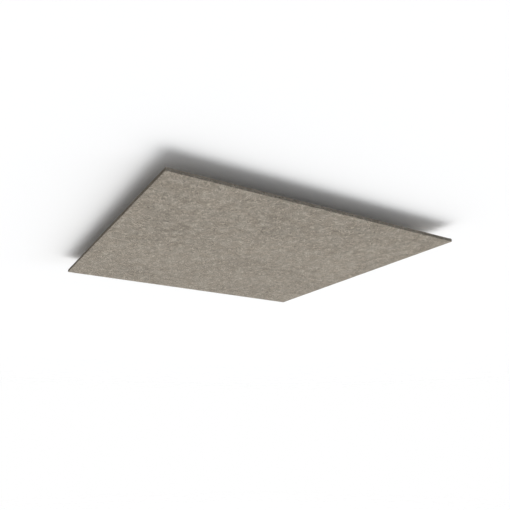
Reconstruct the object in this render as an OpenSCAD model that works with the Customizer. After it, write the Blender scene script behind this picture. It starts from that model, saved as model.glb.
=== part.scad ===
// Suspended ceiling tile: a square board of pressed felt that hangs face down, with its lower face in view.
// Hanger sockets are screwed to the back of the board, and each takes the threaded end of a hanger.
// The origin is the centre of the visible face, and +Z points up to the back.

/* [Felt board] */
// Side of the square board
tile_side = 1200; // [600:10:1500]
// Thickness of the board
tile_thickness = 12; // [10:0.5:25]

/* [Hanger sockets] */
// Distance from each edge of the board to the nearest socket centres
socket_inset = 200; // [50:5:280]
// Diameter of the flange that lies on the felt
flange_d = 36; // [30:0.5:50]
// Thickness of the flange
flange_thickness = 2; // [1.8:0.1:3]
// Diameter of the threaded boss
boss_d = 12; // [10:0.5:15]
// Height from the felt to the mouth of the boss
socket_height = 10; // [8:0.5:20]
// Core diameter of the M6 thread in the boss
thread_core_d = 5; // [4:0.1:6.8]
// Radius of the fillet where the boss meets the flange
boss_fillet = 1.5; // [0.5:0.1:2.5]
// Chamfer on the rims of the flange and boss and at the mouth of the thread
rim_chamfer = 0.4; // [0.2:0.1:0.8]

/* [Socket screws] */
// Number of screws round each socket
screws_per_socket = 3; // [3:1:4]
// Diameter of the screw's shank
screw_d = 3; // [2.5:0.1:3.5]
// Diameter of the countersunk head
screw_head_d = 6; // [5:0.1:6.8]
// Height of the straight rim of the head
screw_head_rim = 0.2; // [0.1:0.1:0.4]
// Length from the top of the head to the point
screw_length = 9.5; // [8:0.5:11]
// Length of the tapered point
screw_point = 2.5; // [1.5:0.1:4]
// Gap between a screw and the hole that takes it
screw_clearance = 0.1; // [0.05:0.01:0.2]

/* [Hidden] */
$fn = 64;
socket_count = 4;
quarter_turn = 360 / socket_count;
socket_reach = tile_side / 2 - socket_inset;
flange_r = flange_d / 2;
boss_r = boss_d / 2;
thread_core_r = thread_core_d / 2;
screw_r = screw_d / 2;
screw_head_r = screw_head_d / 2;
// The head tapers at 45 degrees, so its cone is as high as the head is wider than the shank
screw_head_height = screw_head_rim + screw_head_r - screw_r;
// Screws stand half-way between the foot of the boss and the rim of the flange
screw_circle_r = (boss_r + boss_fillet + flange_r) / 2;
// One screw of each socket points at the nearest corner of the board
first_screw_angle = 45;
// Cuts run this far past the faces that they open
cut_margin = 1;

felt_colour = "#968f84";
zinc_colour = "#b9bcc0";
screw_colour = "#c9ccd0";

SOCKETS = [for (i = [1:socket_count]) str("hanger_socket_", i)];

// Moves its children to the foot of one hanger socket on the back of the board
module at_socket(index) {
    rotate(index * quarter_turn)
        translate([socket_reach, socket_reach, tile_thickness])
            children();
}

// Repeats its children at the screws of one socket, on top of its flange
module at_screws() {
    for (i = [0:screws_per_socket - 1])
        rotate(first_screw_angle + i * 360 / screws_per_socket)
            translate([screw_circle_r, 0, flange_thickness])
                children();
}

// Countersunk screw with its head at the origin and its point down, widened all over by the gap
module screw_form(gap = 0) {
    rotate_extrude()
        polygon([
            [0, gap],
            [screw_head_r + gap, gap],
            [screw_head_r + gap, -screw_head_rim],
            [screw_r + gap, -screw_head_height],
            [screw_r + gap, screw_point - screw_length],
            [0, -screw_length - gap]
        ]);
}

// Half section of a socket: flange and boss with a fillet between them
module socket_section() {
    polygon([
        [0, 0],
        [flange_r, 0],
        [flange_r, flange_thickness - rim_chamfer],
        [flange_r - rim_chamfer, flange_thickness],
        [0, flange_thickness]
    ]);
    polygon([
        [0, 0],
        [boss_r, 0],
        [boss_r, socket_height - rim_chamfer],
        [boss_r - rim_chamfer, socket_height],
        [0, socket_height]
    ]);
    translate([boss_r, flange_thickness])
        difference() {
            square(boss_fillet);
            translate([boss_fillet, boss_fillet]) circle(boss_fillet);
        }
}

// Half section of the threaded hole, which opens out at its mouth
module thread_section() {
    mouth_r = thread_core_r + rim_chamfer + cut_margin;
    polygon([
        [0, -cut_margin],
        [thread_core_r, -cut_margin],
        [thread_core_r, socket_height - rim_chamfer],
        [mouth_r, socket_height + cut_margin],
        [0, socket_height + cut_margin]
    ]);
}

module felt_board() {
    color(felt_colour)
        difference() {
            linear_extrude(tile_thickness) square(tile_side, center = true);
            for (i = [0:socket_count - 1])
                at_socket(i) at_screws() screw_form(screw_clearance);
        }
}

module hanger_socket() {
    color(zinc_colour)
        difference() {
            rotate_extrude() difference() {
                socket_section();
                thread_section();
            }
            at_screws() screw_form(screw_clearance);
        }
}

module socket_screws() {
    color(screw_colour)
        for (i = [0:socket_count - 1])
            at_socket(i) at_screws() screw_form();
}

felt_board();
for (i = [0:socket_count - 1])
    at_socket(i) hanger_socket();
socket_screws();
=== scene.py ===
import math

import bmesh
import bpy
from mathutils import Matrix, Vector, noise


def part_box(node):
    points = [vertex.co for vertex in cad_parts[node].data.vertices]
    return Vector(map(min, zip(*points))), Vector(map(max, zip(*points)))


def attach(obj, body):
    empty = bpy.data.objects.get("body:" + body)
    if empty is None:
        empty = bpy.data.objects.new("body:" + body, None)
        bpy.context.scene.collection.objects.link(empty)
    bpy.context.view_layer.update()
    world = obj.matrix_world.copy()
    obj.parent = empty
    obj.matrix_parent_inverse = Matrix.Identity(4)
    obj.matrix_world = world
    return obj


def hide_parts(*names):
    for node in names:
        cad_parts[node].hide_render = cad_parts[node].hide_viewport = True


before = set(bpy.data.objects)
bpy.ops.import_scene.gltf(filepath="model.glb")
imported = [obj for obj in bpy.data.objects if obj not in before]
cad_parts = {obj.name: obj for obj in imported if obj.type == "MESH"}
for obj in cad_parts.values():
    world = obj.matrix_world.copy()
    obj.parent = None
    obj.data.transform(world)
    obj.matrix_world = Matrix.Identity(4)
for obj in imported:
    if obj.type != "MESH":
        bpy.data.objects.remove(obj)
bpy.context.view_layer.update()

# Sizes taken from the frame, in metres
MM = 0.001
BOARD_LOW, BOARD_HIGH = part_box("felt_board")
BOARD_SIDE = BOARD_HIGH.x - BOARD_LOW.x
BOARD_THICKNESS = BOARD_HIGH.z - BOARD_LOW.z
SOCKET_NODES = sorted(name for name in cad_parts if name.startswith("hanger_socket_"))
SOCKET_LOW, SOCKET_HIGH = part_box(SOCKET_NODES[0])
SOCKET_REACH = (SOCKET_LOW.x + SOCKET_HIGH.x) / 2

# Node trees written as Python expressions


class Signal:
    """One output of a node. Python's operators on a signal that carries a number add Math nodes."""

    def __init__(self, graph, socket):
        self.graph = graph
        self.socket = socket

    def __add__(self, other):
        return self.graph.math("ADD", self, other)

    def __sub__(self, other):
        return self.graph.math("SUBTRACT", self, other)

    def __rsub__(self, other):
        return self.graph.math("SUBTRACT", other, self)

    def __mul__(self, other):
        return self.graph.math("MULTIPLY", self, other)

    def __truediv__(self, other):
        return self.graph.math("DIVIDE", self, other)

    def __pow__(self, other):
        return self.graph.math("POWER", self, other)

    def __abs__(self):
        return self.graph.math("ABSOLUTE", self)

    __radd__ = __add__
    __rmul__ = __mul__


class Graph:
    """The nodes of one material or world, added to an empty tree."""

    def __init__(self, owner):
        owner.use_nodes = True
        self.tree = owner.node_tree
        self.tree.nodes.clear()

    def node(self, kind, settings=None, sockets=None, output=0):
        made = self.tree.nodes.new("ShaderNode" + kind)
        for name, setting in (settings or {}).items():
            setattr(made, name, setting)
        for name, value in (sockets or {}).items():
            if isinstance(value, Signal):
                self.tree.links.new(value.socket, made.inputs[name])
            else:
                made.inputs[name].default_value = value
        return Signal(self, made.outputs[output]) if made.outputs else None

    def math(self, operation, first, second=0.0):
        return self.node("Math", {"operation": operation}, {0: first, 1: second})

    def larger(self, first, second):
        return self.math("MAXIMUM", first, second)

    def vector(self, operation, first, second=(0.0, 0.0, 0.0), third=(0.0, 0.0, 0.0), output=0):
        return self.node("VectorMath", {"operation": operation}, {0: first, 1: second, 2: third}, output)

    def blend(self, share, first, second, how="MIX"):
        """Colour that goes from first to second as share goes from 0 to 1."""
        settings = {"data_type": "RGBA", "blend_type": how}
        return self.node("Mix", settings, {0: share, 6: first, 7: second}, output=2)

    def ease(self, value, low, high, start=0.0, end=1.0):
        """Smooth step from start to end as value goes from low to high."""
        return self.node(
            "MapRange",
            {"interpolation_type": "SMOOTHSTEP"},
            {"Value": value, "From Min": low, "From Max": high, "To Min": start, "To Max": end},
        )

    def grain(self, place, size, detail=2.0, output="Fac"):
        """Noise with grains of about that size in metres."""
        sockets = {"Vector": place, "Scale": 1 / size, "Detail": detail}
        return self.node("TexNoise", None, sockets, output)

    def place(self):
        """Where a point lies on the piece, from the tile's origin."""
        return self.node("TexCoord", output="Object")

    def ray(self, question):
        """What the Light Path node says of the ray that asks for a colour."""
        return self.node("LightPath", output=question)


def rgba(colour, level=1.0):
    return (*(level * part for part in colour), 1.0)


# Felt

# Colours as light that the felt gives back: its middle, how far tones go from it, and two tints
FELT_MID = (0.306, 0.273, 0.227)
FELT_DARKEST = 0.2
FELT_PALEST = 1.8
WARM_TINT = (1.007, 0.999, 0.992)
COOL_TINT = (0.993, 1.001, 1.006)
TINT_RANGE = (0.35, 0.65)

# Kinds of fibre: headings in degrees, a strand's length, width and height, and how much of its width it fills
PALE_FIBRES = {
    "headings": (14, 59, 103, 148), "seed": 1, "size": (34 * MM, 4.5 * MM, 3 * MM), "fill": 0.07,
}
THIN_FIBRES = {
    "headings": (27, 72, 116, 161), "seed": 21, "size": (16 * MM, 2 * MM, 1.5 * MM), "fill": 0.11,
}
DARK_FIBRES = {
    "headings": (36, 81, 126, 170), "seed": 11, "size": (16 * MM, 2.6 * MM, 2 * MM), "fill": 0.10,
}
HAIRS = {
    "headings": (5, 40, 77, 112, 149), "seed": 31, "size": (7 * MM, 0.25 * MM, 0.25 * MM), "fill": 0.12,
}
SEED_STEP = (0.37, 0.61, 0.23)
STRAND_DETAIL = 1.0
BREAK_SCALE = 0.8
BREAK_RANGE = (0.52, 0.62)

# Drifts that bend the strands: the size and detail of the noise, and how far it carries them
CURL = {"size": 14 * MM, "detail": 1.0, "reach": (8 * MM, 8 * MM, 3 * MM)}
KINK = {"size": 6 * MM, "detail": 1.0, "reach": (4 * MM, 4 * MM, 1 * MM)}
FRAY = {"size": 1.2 * MM, "detail": 2.0, "reach": (3 * MM, 3 * MM, 3 * MM)}

# Grains of the melange, from small to large
TUFT_SIZE = 3 * MM
FLECK_SIZE = 4 * MM
FLECK_RANGE = (0.62, 0.76)
LIVELY_SIZE = 26 * MM
LIVELY_RANGE = (0.40, 0.60, 0.28, 0.92)
PATCH_SIZE = 40 * MM
CLOUD_SIZE = 60 * MM
CLOUD_DETAIL = 3.0
SWEEP_SIZE = 300 * MM
NOISE_MIDDLE = 0.5

# How much each of them adds to the tone, which is 0 at the darkest felt and 1 at the palest
GROUND_TONE = 0.335
PALE_TONE = 0.33
THIN_TONE = 0.33
DARK_TONE = 0.17
FLECK_TONE = 0.55
TUFT_TONE = 0.34
MELANGE_OFFSET = 0.05
HAIR_TONE = 0.26
HAIR_MIDDLE = 0.3
PATCH_TONE = 0.22
CLOUD_TONE = 0.18
SWEEP_TONE = 0.25
# Strands and flecks show where hairs lie over them, and less between the hairs
BARE_SHARE = 0.4
HAIRY_SHARE = 2.0

# How high each kind of fibre stands in the bump
PALE_RELIEF = 0.4
THIN_RELIEF = 0.4
HAIR_RELIEF = 0.5
DARK_RELIEF = 0.3
FELT_BUMP = {"Strength": 0.5, "Distance": 0.4 * MM}
FELT_FINISH = {"Roughness": 0.95, "Specular IOR Level": 0.05}


def drifted(g, place, start, drift):
    """Places carried off from their start by a random drift."""
    noise_colour = g.grain(place, drift["size"], drift["detail"], "Color")
    return g.vector("MULTIPLY_ADD", noise_colour, drift["reach"], start)


def strand_layer(g, place, heading, seed, kind):
    """Strands along one heading in the plane of the board, in broken lengths: 1 in the middle, 0 beside."""
    laid = g.node(
        "Mapping",
        {"vector_type": "TEXTURE"},
        {
            "Vector": place,
            "Location": tuple(seed * step for step in SEED_STEP),
            "Rotation": (0.0, 0.0, math.radians(heading)),
            "Scale": kind["size"],
        },
    )
    wave = g.node("TexNoise", None, {"Vector": laid, "Scale": 1.0, "Detail": STRAND_DETAIL}, "Fac")
    breaks = g.node("TexNoise", None, {"Vector": laid, "Scale": BREAK_SCALE, "Detail": 0.0}, "Fac")
    strand = g.ease(abs(wave - NOISE_MIDDLE), 0.0, kind["fill"], 1.0, 0.0)
    return strand * g.ease(breaks, *BREAK_RANGE)


def strands(g, place, kind):
    """Strands of one kind along all its headings, laid over each other."""
    laid = None
    for step, heading in enumerate(kind["headings"]):
        layer = strand_layer(g, place, heading, kind["seed"] + step, kind)
        laid = g.larger(laid, layer) if laid else layer
    return laid


def felt_material():
    """Pressed felt: light and dark fibres on a grey-beige ground, with soft clouds of tone."""
    material = bpy.data.materials.new("felt")
    g = Graph(material)
    place = g.place()
    curled = drifted(g, place, place, CURL)
    pale = strands(g, curled, PALE_FIBRES)
    thin = strands(g, curled, THIN_FIBRES)
    dark = strands(g, curled, DARK_FIBRES)
    hair = strands(g, drifted(g, place, curled, KINK), HAIRS)
    fleck = g.ease(g.grain(curled, FLECK_SIZE, 1.0), *FLECK_RANGE)
    frayed = drifted(g, place, curled, FRAY)
    cells = g.node("TexVoronoi", None, {"Vector": frayed, "Scale": 1 / TUFT_SIZE}, "Color")
    tuft = g.node("SeparateColor", None, {0: cells}) - NOISE_MIDDLE
    lively = g.ease(g.grain(place, LIVELY_SIZE), *LIVELY_RANGE)
    patch = g.grain(curled, PATCH_SIZE) - NOISE_MIDDLE
    cloud = g.grain(place, CLOUD_SIZE, CLOUD_DETAIL) - NOISE_MIDDLE
    sweep = g.grain(place, SWEEP_SIZE) - NOISE_MIDDLE

    fibre_tone = pale * PALE_TONE + thin * THIN_TONE - dark * DARK_TONE + fleck * FLECK_TONE
    melange = fibre_tone * (BARE_SHARE + hair * HAIRY_SHARE) + tuft * TUFT_TONE - MELANGE_OFFSET
    tone = GROUND_TONE + melange * lively + (hair - HAIR_MIDDLE) * HAIR_TONE
    tone = tone + patch * PATCH_TONE + cloud * CLOUD_TONE + sweep * SWEEP_TONE
    ground = g.blend(tone, rgba(FELT_MID, FELT_DARKEST), rgba(FELT_MID, FELT_PALEST))
    warmth = g.ease(g.grain(place, CLOUD_SIZE, 1.0), *TINT_RANGE)
    tint = g.blend(warmth, rgba(WARM_TINT), rgba(COOL_TINT))
    tinted = g.blend(1.0, ground, tint, "MULTIPLY")

    relief = pale * PALE_RELIEF + thin * THIN_RELIEF + hair * HAIR_RELIEF - dark * DARK_RELIEF
    bump = g.node("Bump", None, {**FELT_BUMP, "Height": relief})
    surface = g.node("BsdfPrincipled", None, {"Base Color": tinted, "Normal": bump, **FELT_FINISH})
    g.node("OutputMaterial", None, {"Surface": surface})
    return material


# Board

BOARD_CELLS = 150
EDGE_CUTS = 3
RIM_SOFTNESS = 0.4 * MM
RIM_SEGMENTS = 2
SHARP_ANGLE = math.radians(35)
FACE_WAVE = {"size": 45 * MM, "depth": 0.18 * MM}
CUT_WAVE = {"size": 70 * MM, "depth": 0.25 * MM}
# A vertex whose normal is at least this upright lies on the face or back of the board
FLAT_NORMAL = 0.9


def finished(mesh, name, material):
    """Object at the origin with its place in its mesh, riding on the tile and creased where faces turn."""
    for face in mesh.faces:
        face.smooth = True
    for edge in mesh.edges:
        edge.smooth = edge.calc_face_angle(0.0) < SHARP_ANGLE
    data = bpy.data.meshes.new(name)
    mesh.to_mesh(data)
    mesh.free()
    data.materials.append(material)
    piece = bpy.data.objects.new(name, data)
    bpy.context.scene.collection.objects.link(piece)
    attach(piece, "root")
    return piece


def sunk(point, wave):
    """How far a point of the felt lies below the flat, in a slow random wave."""
    return wave["depth"] * (0.5 + 0.5 * noise.noise(Vector(point) / wave["size"]))


def felt_board(material):
    """The board, cut square, with rims that the knife left soft and slightly wavy faces and edges."""
    mesh = bmesh.new()
    bmesh.ops.create_grid(mesh, x_segments=BOARD_CELLS, y_segments=BOARD_CELLS, size=BOARD_SIDE / 2)
    bmesh.ops.translate(mesh, verts=mesh.verts[:], vec=(0, 0, BOARD_LOW.z))
    raised = bmesh.ops.extrude_face_region(mesh, geom=mesh.faces[:])["geom"]
    tops = [part for part in raised if isinstance(part, bmesh.types.BMVert)]
    bmesh.ops.translate(mesh, verts=tops, vec=(0, 0, BOARD_THICKNESS))
    bmesh.ops.recalc_face_normals(mesh, faces=mesh.faces[:])
    uprights = [edge for edge in mesh.edges if edge.verts[0].co.z != edge.verts[1].co.z]
    bmesh.ops.subdivide_edges(mesh, edges=uprights, cuts=EDGE_CUTS, use_grid_fill=True)
    rims = [edge for edge in mesh.edges if edge.calc_face_angle(0.0) > SHARP_ANGLE]
    bmesh.ops.bevel(
        mesh,
        geom=rims,
        offset=RIM_SOFTNESS,
        segments=RIM_SEGMENTS,
        profile=0.5,
        affect="EDGES",
        material=-1,
    )
    mesh.normal_update()
    for vert in mesh.verts:
        wave = FACE_WAVE if abs(vert.normal.z) > FLAT_NORMAL else CUT_WAVE
        vert.co -= vert.normal * sunk(vert.co, wave)
    piece = finished(mesh, "felt_board_cut", material)
    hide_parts("felt_board")


# Plating of the fittings

SOCKET_PLATING = {"colour": (0.58, 0.59, 0.60), "roughness": 0.38, "ring_pitch": 0.35 * MM}
SCREW_PLATING = {"colour": (0.62, 0.63, 0.64), "roughness": 0.32, "ring_pitch": 0.2 * MM}
RING_DETAIL = 2.0
BLOOM_SIZE = 5 * MM
BLOOM_DETAIL = 3.0
BLOOM_SHADE = 0.7
RING_SHADE = 0.3
SHADE_RANGE = (0.3, 0.7)
PLATING_DARKEST = 0.78
PLATING_PALEST = 1.08
BLOOM_ROUGHNESS = 0.25
RING_ROUGHNESS = 0.15
RING_BUMP = {"Strength": 0.35, "Distance": 0.05 * MM}


def plated_material(name, finish, axes):
    """Zinc plating with a soft bloom, and with fine rings round the nearest of some upright axes.

    The axes are those in the corner at +X +Y, on which the other corners are folded."""
    material = bpy.data.materials.new(name)
    g = Graph(material)
    place = g.place()
    folded = g.vector("MULTIPLY", g.vector("ABSOLUTE", place), (1.0, 1.0, 0.0))
    reaches = [g.vector("DISTANCE", folded, axis, output="Value") for axis in axes]
    radius = reaches[0]
    for reach in reaches[1:]:
        radius = g.math("MINIMUM", radius, reach)
    rings = g.node(
        "TexNoise",
        {"noise_dimensions": "1D"},
        {"W": radius, "Scale": 1 / finish["ring_pitch"], "Detail": RING_DETAIL},
        "Fac",
    )
    bloom = g.grain(place, BLOOM_SIZE, BLOOM_DETAIL)
    shade = g.ease(bloom * BLOOM_SHADE + rings * RING_SHADE, *SHADE_RANGE)
    colour = finish["colour"]
    tinted = g.blend(shade, rgba(colour, PLATING_DARKEST), rgba(colour, PLATING_PALEST))
    rough = finish["roughness"] + (bloom - NOISE_MIDDLE) * BLOOM_ROUGHNESS
    rough = rough + (rings - NOISE_MIDDLE) * RING_ROUGHNESS
    bump = g.node("Bump", None, {**RING_BUMP, "Height": rings})
    surface = g.node(
        "BsdfPrincipled",
        None,
        {"Base Color": tinted, "Metallic": 1.0, "Roughness": rough, "Normal": bump},
    )
    g.node("OutputMaterial", None, {"Surface": surface})
    return material


# Hanger sockets

FLANGE_TOP = BOARD_HIGH.z + 2 * MM
BORE_RADIUS = 2.5 * MM
MOUTH_CHAMFER = 0.4 * MM
THREAD_PITCH = 1.0 * MM
THREAD_DEPTH = 0.54 * MM
THREAD_STEEPNESS = 1.15
THREAD_FADE = 0.6 * MM
THREAD_SIDES = 40
THREAD_CUTS = 79
WALL_SETBACK = 0.05 * MM
DOUBLES = 0.001 * MM


def thread_depth(point, low, high):
    """How deep the socket's thread is cut at a point of its bore: a V that climbs one pitch a turn."""
    turn = math.atan2(point.y, point.x) / (2 * math.pi)
    climb = (point.z / THREAD_PITCH - turn) % 1.0
    groove = THREAD_DEPTH * max(0.0, 1 - abs(2 * climb - 1) * THREAD_STEEPNESS)
    fade = min(1.0, (point.z - low) / THREAD_FADE, (high - point.z) / THREAD_FADE)
    mouth = point.z - (high - MOUTH_CHAMFER)
    return max(groove * fade, mouth, 0.0)


def thread_wall(axis, low, high):
    """The wall of a socket's bore, with its thread cut into it."""
    mesh = bmesh.new()
    bmesh.ops.create_cone(
        mesh,
        cap_ends=False,
        segments=THREAD_SIDES,
        radius1=BORE_RADIUS,
        radius2=BORE_RADIUS,
        depth=high - low - 2 * WALL_SETBACK,
        matrix=Matrix.Translation((0, 0, (low + high) / 2)),
    )
    uprights = [
        edge for edge in mesh.edges if abs(edge.verts[0].co.z - edge.verts[1].co.z) > WALL_SETBACK
    ]
    bmesh.ops.subdivide_edges(mesh, edges=uprights, cuts=THREAD_CUTS, use_grid_fill=True)
    for vert in mesh.verts:
        vert.co.xy += vert.co.xy.normalized() * thread_depth(vert.co, low, high)
    bmesh.ops.translate(mesh, verts=mesh.verts[:], vec=axis)
    wall = bpy.data.meshes.new("thread_wall")
    mesh.to_mesh(wall)
    mesh.free()
    return wall


def threaded_socket(node, material):
    """The turned socket with its plain bore taken out and a threaded one joined in."""
    mesh = bmesh.new()
    mesh.from_mesh(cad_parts[node].data)
    bmesh.ops.remove_doubles(mesh, verts=mesh.verts[:], dist=DOUBLES)
    low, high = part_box(node)
    axis = Vector(((low.x + high.x) / 2, (low.y + high.y) / 2, 0.0))
    reach = BORE_RADIUS + MOUTH_CHAMFER + WALL_SETBACK
    bore = [
        face for face in mesh.faces if all((vert.co - axis).xy.length < reach for vert in face.verts)
    ]
    bmesh.ops.delete(mesh, geom=bore, context="FACES")
    mesh.from_mesh(thread_wall(axis, low.z, high.z))
    open_edges = [edge for edge in mesh.edges if len(edge.link_faces) == 1]
    for level in (low.z, high.z):
        ends = [edge for edge in open_edges if abs(edge.verts[0].co.z - level) < 2 * WALL_SETBACK]
        bmesh.ops.bridge_loops(mesh, edges=ends)
    bmesh.ops.recalc_face_normals(mesh, faces=mesh.faces[:])
    piece = finished(mesh, node + "_threaded", material)
    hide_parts(node)


# Screws of the sockets

SCREW_CIRCLE = 12.75 * MM
SCREW_ANGLES = (45, 165, 285)
SCREW_SIDES = 24
SCREW_HEAD_RADIUS = 3 * MM
SCREW_HEAD_RIM = 0.2 * MM
SCREW_HEAD_HEIGHT = 1.7 * MM
SCREW_CORE_RADIUS = 1.05 * MM
SCREW_LENGTH = 9.5 * MM
SCREW_POINT = 2.5 * MM
SCREW_TIP_RADIUS = 0.06 * MM
# The ridge of the thread, whose roots lie inside the core
RIDGE_PITCH = 1.1 * MM
RIDGE_RADIUS = 1.5 * MM
RIDGE_HALF_WIDTH = 0.3 * RIDGE_PITCH
RIDGE_ROOT = 0.9
RIDGE_STEPS = 14
# The cross recess, with the half width of an arm as a share of its reach
RECESS_REACH = 1.55 * MM
RECESS_DEPTH = 1.3 * MM
RECESS_TAPER = 0.45
RECESS_ARM_WIDTH = math.tan(2 * math.pi / SCREW_SIDES)
# Degrees at which the driver left the screws, taken in turn
LEFT_AT = (8, 51, 33, 74, 19, 62, 41)

# Upright axes of the fittings in the corner at +X +Y, of which the others are quarter turns
SOCKET_AXIS = Vector((SOCKET_REACH, SOCKET_REACH, 0.0))
SCREW_SPOKE = Vector((SCREW_CIRCLE, 0.0, 0.0))
SCREW_AXES = [
    SOCKET_AXIS + Matrix.Rotation(math.radians(angle), 3, "Z") @ SCREW_SPOKE for angle in SCREW_ANGLES
]


def ring_edges(verts):
    """The edges that join some vertices to each other."""
    group = set(verts)
    return list({edge for vert in verts for edge in vert.link_edges if edge.other_vert(vert) in group})


def round_outline(heading):
    """Distance from the middle to a round outline along a heading, with a radius of 1."""
    return 1.0


def cross_outline(heading):
    """Distance from the middle to the outline of a cross along a heading, with arms that reach 1."""
    across, along = sorted(map(abs, heading))
    return 1 / max(along, across / RECESS_ARM_WIDTH)


def next_ring(mesh, ring, radius, z, outline=round_outline):
    """Extrudes an edge loop to another radius, height and outline, and gives the new loop."""
    grown = bmesh.ops.extrude_edge_only(mesh, edges=ring)["geom"]
    for vert in [part for part in grown if isinstance(part, bmesh.types.BMVert)]:
        heading = vert.co.xy.normalized()
        vert.co = (*(heading * radius * outline(heading)), z)
    return [part for part in grown if isinstance(part, bmesh.types.BMEdge)]


def core_radius(z):
    """Radius of the screw's core at a height, which narrows to the point."""
    share = min(1.0, (z + SCREW_LENGTH) / SCREW_POINT)
    return max(SCREW_TIP_RADIUS, SCREW_CORE_RADIUS * share)


def screw_thread():
    """The ridge that climbs round the screw's core and dies out at both ends, closed on itself."""
    mesh = bmesh.new()
    start = -SCREW_HEAD_HEIGHT - RIDGE_PITCH / 2
    stop = -SCREW_LENGTH + RIDGE_PITCH / 2
    turns = (start - stop) / RIDGE_PITCH
    steps = round(turns * RIDGE_STEPS)
    root = SCREW_CORE_RADIUS * RIDGE_ROOT
    section = [
        mesh.verts.new((root, 0, start + RIDGE_HALF_WIDTH)),
        mesh.verts.new((RIDGE_RADIUS, 0, start)),
        mesh.verts.new((root, 0, start - RIDGE_HALF_WIDTH)),
    ]
    edges = [mesh.edges.new((section[k], section[k - 1])) for k in range(3)]
    bmesh.ops.spin(
        mesh,
        geom=section + edges,
        cent=(0, 0, 0),
        axis=(0, 0, 1),
        dvec=(0, 0, (stop - start) / steps),
        angle=-2 * math.pi * turns,
        steps=steps,
        use_merge=False,
    )
    for vert in mesh.verts:
        core = core_radius(vert.co.z)
        growth = min(1.0, (start - vert.co.z) / RIDGE_PITCH, (vert.co.z - stop) / RIDGE_PITCH)
        crest = core + (RIDGE_RADIUS - SCREW_CORE_RADIUS) * max(0.0, growth)
        on_crest = vert.co.xy.length > SCREW_CORE_RADIUS
        vert.co.xy = vert.co.xy.normalized() * (crest if on_crest else core * RIDGE_ROOT)
    ends = [edge for edge in mesh.edges if len(edge.link_faces) == 1]
    bmesh.ops.holes_fill(mesh, edges=ends, sides=3)
    bmesh.ops.recalc_face_normals(mesh, faces=mesh.faces[:])
    thread = bpy.data.meshes.new("screw_thread")
    mesh.to_mesh(thread)
    mesh.free()
    return thread


def screw_form():
    """One countersunk screw with its head's top at the origin: a cross recess, a thread and a point."""
    mesh = bmesh.new()
    circle = bmesh.ops.create_circle(mesh, segments=SCREW_SIDES, radius=SCREW_HEAD_RADIUS)
    rim = ring_edges(circle["verts"])
    ring = next_ring(mesh, rim, RECESS_REACH, 0.0, cross_outline)
    ring = next_ring(mesh, ring, RECESS_REACH * RECESS_TAPER, -RECESS_DEPTH, cross_outline)
    bmesh.ops.contextual_create(mesh, geom=ring)
    ring = next_ring(mesh, rim, SCREW_HEAD_RADIUS, -SCREW_HEAD_RIM)
    ring = next_ring(mesh, ring, SCREW_CORE_RADIUS, -SCREW_HEAD_HEIGHT)
    ring = next_ring(mesh, ring, SCREW_CORE_RADIUS, SCREW_POINT - SCREW_LENGTH)
    ring = next_ring(mesh, ring, SCREW_TIP_RADIUS, -SCREW_LENGTH)
    bmesh.ops.contextual_create(mesh, geom=ring)
    bmesh.ops.recalc_face_normals(mesh, faces=mesh.faces[:])
    mesh.from_mesh(screw_thread())
    form = bpy.data.meshes.new("screw_form")
    mesh.to_mesh(form)
    mesh.free()
    return form


def socket_screws(material):
    """Three screws in each socket, each turned to where the driver left it."""
    mesh = bmesh.new()
    form = screw_form()
    for corner in range(len(SOCKET_NODES)):
        for number, axis in enumerate(SCREW_AXES):
            left_at = LEFT_AT[(corner * len(SCREW_AXES) + number) % len(LEFT_AT)]
            screw = form.copy()
            screw.transform(Matrix.Rotation(math.radians(left_at), 4, "Z"))
            screw.transform(Matrix.Translation((axis.x, axis.y, FLANGE_TOP)))
            screw.transform(Matrix.Rotation(corner * math.pi / 2, 4, "Z"))
            mesh.from_mesh(screw)
    piece = finished(mesh, "socket_screws_cut", material)
    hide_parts("socket_screws")


# Stage, light and camera

WHITE = (1.0, 1.0, 1.0)
BACKDROP_GAP = 54 * MM
STAGE_REACH = 150.0
FLOOR_DROP = 1.6
# Distances from the tile between which the stage gives way to the white behind it
FAR_RANGE = (4.0, 8.0)
# Soft glows of the world: degrees from straight down, degrees round from +X, narrowness, level and coolness
GLOWS = (
    {"tilt": 30.5, "turn": 45.4, "power": 8.17, "level": 3.17, "cool": 0.0},
    {"tilt": 100.3, "turn": 62.7, "power": 2.22, "level": 1.68, "cool": 0.0},
    {"tilt": 76.3, "turn": -37.9, "power": 34.7, "level": 5.24, "cool": 1.0},
)
COOL_LIGHT = (0.94, 1.0, 1.08)
DIM_LEVEL = 0.273
UPPER_SHARE = 0.6
HORIZON_BLUR = 0.1
# The first rays from what the camera sees have a ray depth under this
FIRST_BOUNCE = 1.5
TOP_LIGHT = {"level": 0.69, "spread": 6, "lean": 0}
GLEAM = {"level": 0.06, "spread": 20, "lean": 12}
LAMP_HEIGHT = 3.0


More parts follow.
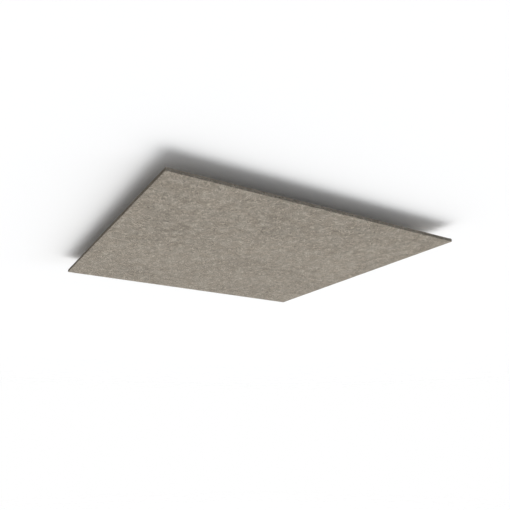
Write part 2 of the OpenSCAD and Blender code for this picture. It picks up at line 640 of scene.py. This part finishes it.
def white_world():
    """Three soft glows, from below, from the far side and from the right, over dim light.

    The camera sees plain white, and so do the reflections in the fittings."""
    world = bpy.data.worlds.new("studio")
    bpy.context.scene.world = world
    g = Graph(world)
    heading = g.node("TexCoord", output="Generated")
    light, cool = DIM_LEVEL, 0.0
    for glow in GLOWS:
        tilt, turn = math.radians(glow["tilt"]), math.radians(glow["turn"])
        axis = (math.sin(tilt) * math.cos(turn), math.sin(tilt) * math.sin(turn), -math.cos(tilt))
        facing = g.vector("DOT_PRODUCT", heading, axis, output="Value")
        beam = g.larger(facing, 0.0) ** glow["power"] * glow["level"]
        light = beam + light
        cool = beam * glow["cool"] + cool
    coolness = cool / light
    height = g.node("SeparateXYZ", None, {0: heading}, "Z")
    light = light * g.ease(height, -HORIZON_BLUR, HORIZON_BLUR, 1.0, UPPER_SHARE)
    seen = g.larger(g.ray("Is Camera Ray"), g.ray("Is Glossy Ray"))
    seen = g.larger(seen, g.ray("Is Transmission Ray"))
    level = light * (1 - seen) + seen
    colour = g.blend(coolness * (1 - seen), rgba(WHITE), rgba(COOL_LIGHT))
    back = g.node("Background", None, {"Color": colour, "Strength": level})
    g.node("OutputWorld", None, {"Surface": back})


def far_off(g):
    """1 where the camera sees a part of the stage far from the tile."""
    away = g.vector("LENGTH", g.place(), output="Value")
    return g.ease(away, *FAR_RANGE) * g.ray("Is Camera Ray")


def matt_white(g, clear_share):
    """Fills a stage material: matt white that turns clear by a share."""
    white = g.node("BsdfDiffuse", None, {"Color": rgba(WHITE)})
    clear = g.node("BsdfTransparent")
    surface = g.node("MixShader", None, {0: clear_share, 1: white, 2: clear})
    g.node("OutputMaterial", None, {"Surface": surface})


def backdrop_material():
    """Matt white. It is clear from above, and clear to the first rays from what the camera sees, so that
    the board's back is lit from above, while the shadow in the gap stays dark."""
    material = bpy.data.materials.new("backdrop")
    g = Graph(material)
    behind = g.node("NewGeometry", output="Backfacing")
    first = g.math("LESS_THAN", g.ray("Ray Depth"), FIRST_BOUNCE)
    spread = g.larger(g.ray("Is Shadow Ray"), g.ray("Is Diffuse Ray"))
    matt_white(g, g.larger(g.larger(behind, first * spread), far_off(g)))
    return material


def floor_material():
    material = bpy.data.materials.new("floor")
    g = Graph(material)
    matt_white(g, far_off(g))
    return material


def stage_plane(name, height, upward, material):
    mesh = bmesh.new()
    bmesh.ops.create_grid(mesh, x_segments=1, y_segments=1, size=STAGE_REACH)
    if not upward:
        bmesh.ops.reverse_faces(mesh, faces=mesh.faces[:])
    bmesh.ops.translate(mesh, verts=mesh.verts[:], vec=(0, 0, height))
    data = bpy.data.meshes.new(name)
    mesh.to_mesh(data)
    mesh.free()
    data.materials.append(material)
    plane = bpy.data.objects.new(name, data)
    bpy.context.scene.collection.objects.link(plane)
    plane.visible_glossy = False
    return plane


def stage():
    """A backdrop close above the tile, and a floor that shows the tile's shadow and gives back no light."""
    stage_plane("backdrop", BOARD_HIGH.z + BACKDROP_GAP, False, backdrop_material())
    floor = stage_plane("floor", BOARD_LOW.z - FLOOR_DROP, True, floor_material())
    floor.visible_diffuse = False
    floor.visible_shadow = False


def sun(name, light):
    """A far lamp above the tile, leaning from upright by an angle towards +X."""
    lamp = bpy.data.lights.new(name, "SUN")
    lamp.energy = light["level"] * math.pi
    lamp.angle = math.radians(light["spread"])
    lamp.cycles.use_multiple_importance_sampling = False
    holder = bpy.data.objects.new(name, lamp)
    holder.location = (0, 0, LAMP_HEIGHT)
    holder.rotation_euler = (0.0, math.radians(light["lean"]), 0.0)
    bpy.context.scene.collection.objects.link(holder)
    return holder


def top_lights():
    """One lamp lights the felt of the back, and a weak one gives its fittings their gleam."""
    sun("top_light", TOP_LIGHT).visible_glossy = False
    sun("gleam", GLEAM).visible_diffuse = False


CAMERA_PLACE = (-1.1095, -1.9662, -0.7276)
CAMERA_PITCH = math.radians(18.190)
CAMERA_TURN = math.radians(-30.661)
CAMERA_LENS = 39.02
CAMERA_SENSOR = 36.0


def camera():
    data = bpy.data.cameras.new("camera")
    data.lens = CAMERA_LENS
    data.sensor_width = CAMERA_SENSOR
    data.clip_end = 2 * STAGE_REACH
    holder = bpy.data.objects.new("camera", data)
    holder.location = CAMERA_PLACE
    holder.rotation_euler = (math.pi / 2 + CAMERA_PITCH, 0.0, CAMERA_TURN)
    bpy.context.scene.collection.objects.link(holder)
    bpy.context.scene.camera = holder


bpy.context.scene.view_settings.view_transform = "Standard"
camera()
white_world()
top_lights()
stage()

felt_board(felt_material())
zinc_plating = plated_material("zinc_plating", SOCKET_PLATING, [SOCKET_AXIS])
for node in SOCKET_NODES:
    threaded_socket(node, zinc_plating)
socket_screws(plated_material("screw_plating", SCREW_PLATING, SCREW_AXES))
